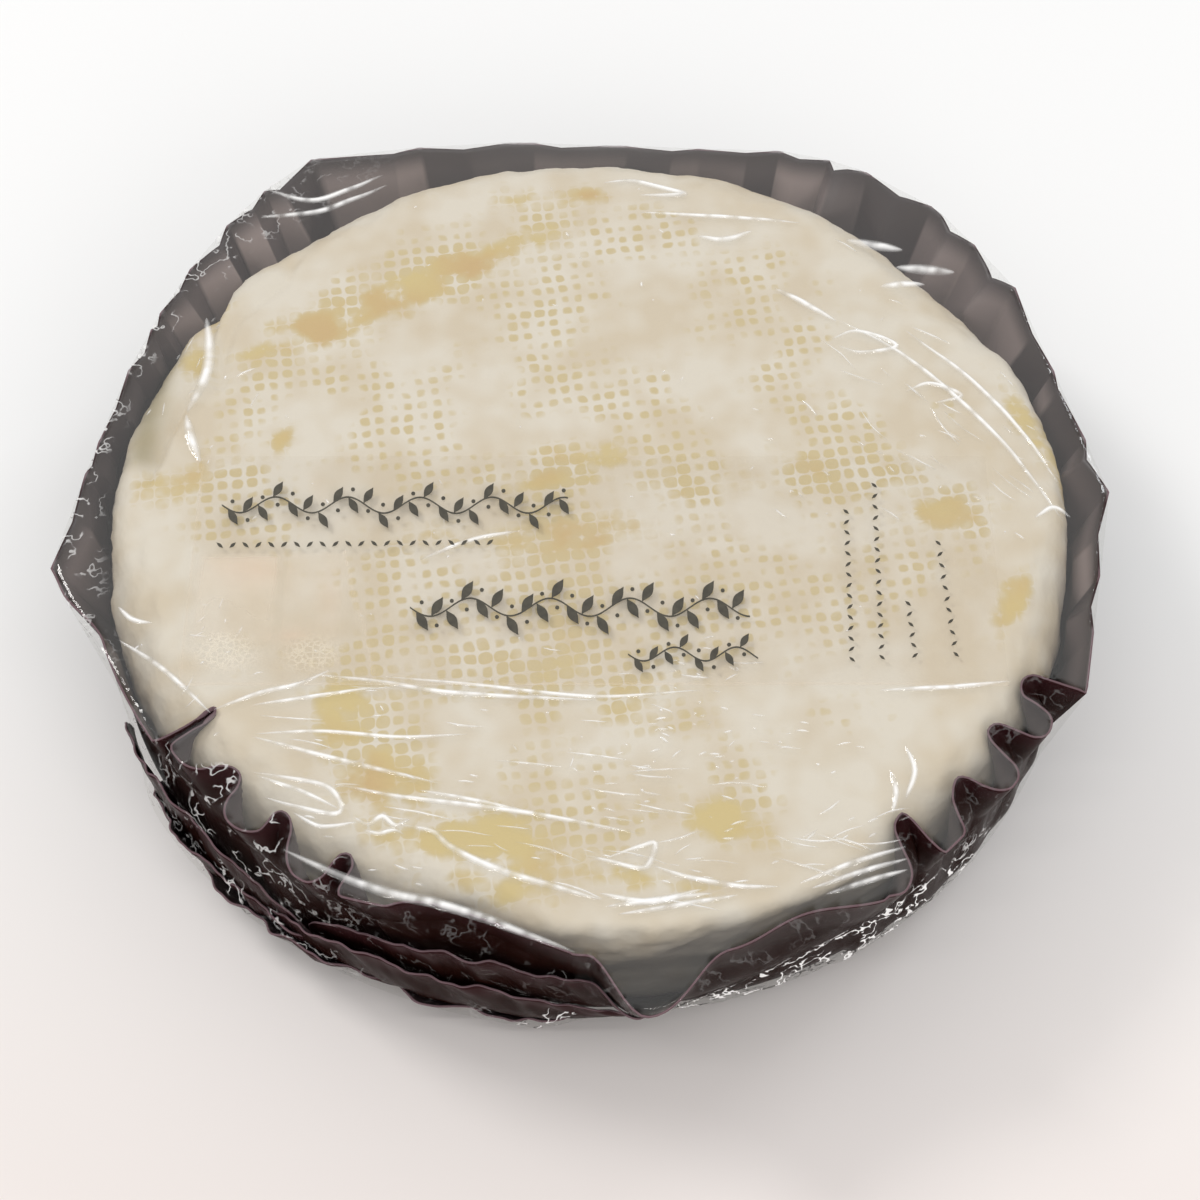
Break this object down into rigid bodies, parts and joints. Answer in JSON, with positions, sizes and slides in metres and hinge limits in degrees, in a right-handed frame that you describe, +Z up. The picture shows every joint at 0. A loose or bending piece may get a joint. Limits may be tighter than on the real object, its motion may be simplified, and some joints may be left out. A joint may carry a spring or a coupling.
{
  "type": "cheese wheel",
  "caption": "Small soft-ripened cheese wheel in a dark pleated case, wrapped tight in clear film with a clear label lying on its top.",
  "frame": {"origin": "middle of the outline, on the floor that the film's underside rests on", "axes": "+Z up along the wheel's axis, -Y towards the side where the film has pulled the case out into one corner"},
  "size_m": [0.1202, 0.1216, 0.0257],
  "materials": {
    "bloomy_rind": "matte bloomy rind with the dotted print of a draining mat",
    "dark_case": "thin dark brown sheet, satin",
    "clear_film": "clear stretch film, glossy and wrinkled",
    "label_film": "clear label film with plain grey shapes printed on it"
  },
  "bodies": {
    "root": {"cheese_wheel": "bloomy_rind", "pleated_case": "dark_case", "clear_wrap": "clear_film", "clear_label": "label_film"}
  },
  "joints": []
}
